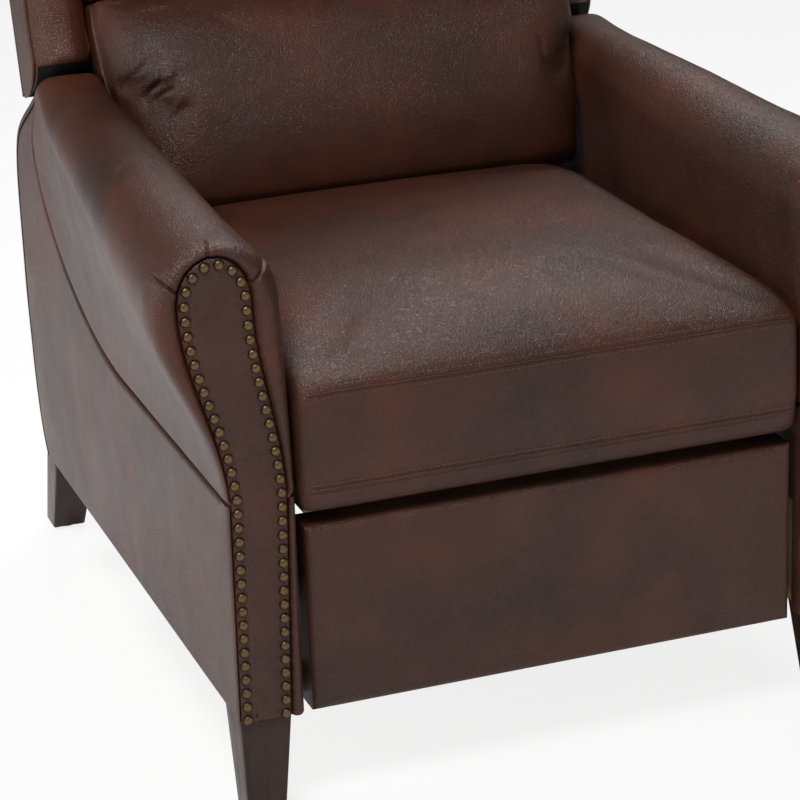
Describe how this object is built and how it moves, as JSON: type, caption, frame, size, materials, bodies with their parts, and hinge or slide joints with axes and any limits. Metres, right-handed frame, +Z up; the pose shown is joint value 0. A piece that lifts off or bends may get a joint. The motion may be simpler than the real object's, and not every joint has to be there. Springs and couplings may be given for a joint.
{
  "type": "wingback push-back recliner",
  "caption": "Leather wingback recliner with rolled arms, nailhead-trimmed arm fronts, tapered wooden legs, a fold-out footrest and a hinged, reclining back.",
  "frame": {"origin": "on the floor, in the middle of the box round the closed and upright chair", "axes": "+Z up, -Y the way the sitter faces, +X the sitter's left"},
  "size_m": [0.828, 0.9218, 1.05],
  "materials": {
    "leather": "semi-gloss, fine grain",
    "aged_brass": "antiqued",
    "espresso_wood": "satin",
    "frame_wood": "raw",
    "black_steel": "satin",
    "zinc_steel": "zinc plated",
    "nylon": "moulded",
    "black_cloth": "non-woven"
  },
  "bodies": {
    "base": {"left_arm_frame": "frame_wood", "right_arm_frame": "frame_wood", "left_arm_roll": "leather", "right_arm_roll": "leather", "left_inner_arm_panel": "leather", "right_inner_arm_panel": "leather", "left_outer_side_panel": "leather", "right_outer_side_panel": "leather", "left_arm_front_panel": "leather", "right_arm_front_panel": "leather", "left_nailheads": "aged_brass", "right_nailheads": "aged_brass", "front_cross_rail": "frame_wood", "rear_cross_rail": "frame_wood", "left_front_leg": "espresso_wood", "right_front_leg": "espresso_wood", "left_rear_leg": "espresso_wood", "right_rear_leg": "espresso_wood", "leg_bolts": "zinc_steel", "leg_glides": "nylon", "left_base_rail": "black_steel", "right_base_rail": "black_steel", "rail_screws": "zinc_steel", "back_hinge_bolts": "zinc_steel"},
    "seat": {"left_seat_plate": "black_steel", "right_seat_plate": "black_steel", "slide_blocks": "nylon", "seat_front_rail": "frame_wood", "seat_rear_rail": "frame_wood", "left_seat_rail": "frame_wood", "right_seat_rail": "frame_wood", "seat_springs": "zinc_steel", "seat_deck": "black_cloth", "seat_cushion": "leather", "seat_pivot_rivets": "zinc_steel"},
    "rear_links": {"rear_links": "black_steel", "torque_tube": "black_steel", "rear_link_rivets": "zinc_steel"},
    "front_links": {"front_links": "black_steel", "front_link_rivets": "zinc_steel"},
    "upper_links": {"upper_links": "black_steel", "upper_link_rivets": "zinc_steel"},
    "lower_links": {"lower_links": "black_steel", "lower_link_rivets": "zinc_steel"},
    "footrest": {"footrest_board": "frame_wood", "footrest_pad": "leather", "footrest_brackets": "black_steel"},
    "back": {"left_back_post": "frame_wood", "right_back_post": "frame_wood", "back_top_rail": "frame_wood", "back_bottom_rail": "frame_wood", "back_springs": "zinc_steel", "outside_back_panel": "leather", "lumbar_cushion": "leather", "upper_back_cushion": "leather", "left_wing": "leather", "right_wing": "leather", "wing_boards": "frame_wood", "wing_linings": "black_cloth", "back_hinge_brackets": "black_steel"}
  },
  "joints": [
    {"name": "seat_slide", "type": "slide", "parent": "base", "child": "seat", "axis": [0, -1, 0], "range_m": [0, 0.0601]},
    {"name": "footrest_open", "type": "hinge", "parent": "seat", "child": "rear_links", "pos_m": [0, -0.23587, 0.287], "axis": [-1, 0, 0], "range_deg": [0, 119]},
    {"name": "front_link_turn", "type": "hinge", "parent": "seat", "child": "front_links", "pos_m": [0, -0.27587, 0.306], "axis": [-1, 0, 0], "range_deg": [0, 117.7]},
    {"name": "upper_link_turn", "type": "hinge", "parent": "rear_links", "child": "upper_links", "pos_m": [0, -0.12087, 0.187], "axis": [-1, 0, 0], "range_deg": [-118.8, 0]},
    {"name": "lower_link_turn", "type": "hinge", "parent": "front_links", "child": "lower_links", "pos_m": [0, -0.16287, 0.171], "axis": [-1, 0, 0], "range_deg": [-114.6, 0]},
    {"name": "footrest_turn", "type": "hinge", "parent": "upper_links", "child": "footrest", "pos_m": [0, -0.38487, 0.28], "axis": [-1, 0, 0], "range_deg": [0, 98.5]},
    {"name": "back_recline", "type": "hinge", "parent": "base", "child": "back", "pos_m": [0, 0.18913, 0.33], "axis": [-1, 0, 0], "range_deg": [0, 30]}
  ],
  "couplings": [
    {"joint": "seat_slide", "follows": "footrest_open", "m_per_rad": 0.02889},
    {"joint": "front_link_turn", "follows": "footrest_open", "ratio": 0.98815},
    {"joint": "upper_link_turn", "follows": "footrest_open", "ratio": -0.99748},
    {"joint": "lower_link_turn", "follows": "footrest_open", "ratio": -0.96235},
    {"joint": "footrest_turn", "follows": "footrest_open", "ratio": 0.82639}
  ]
}
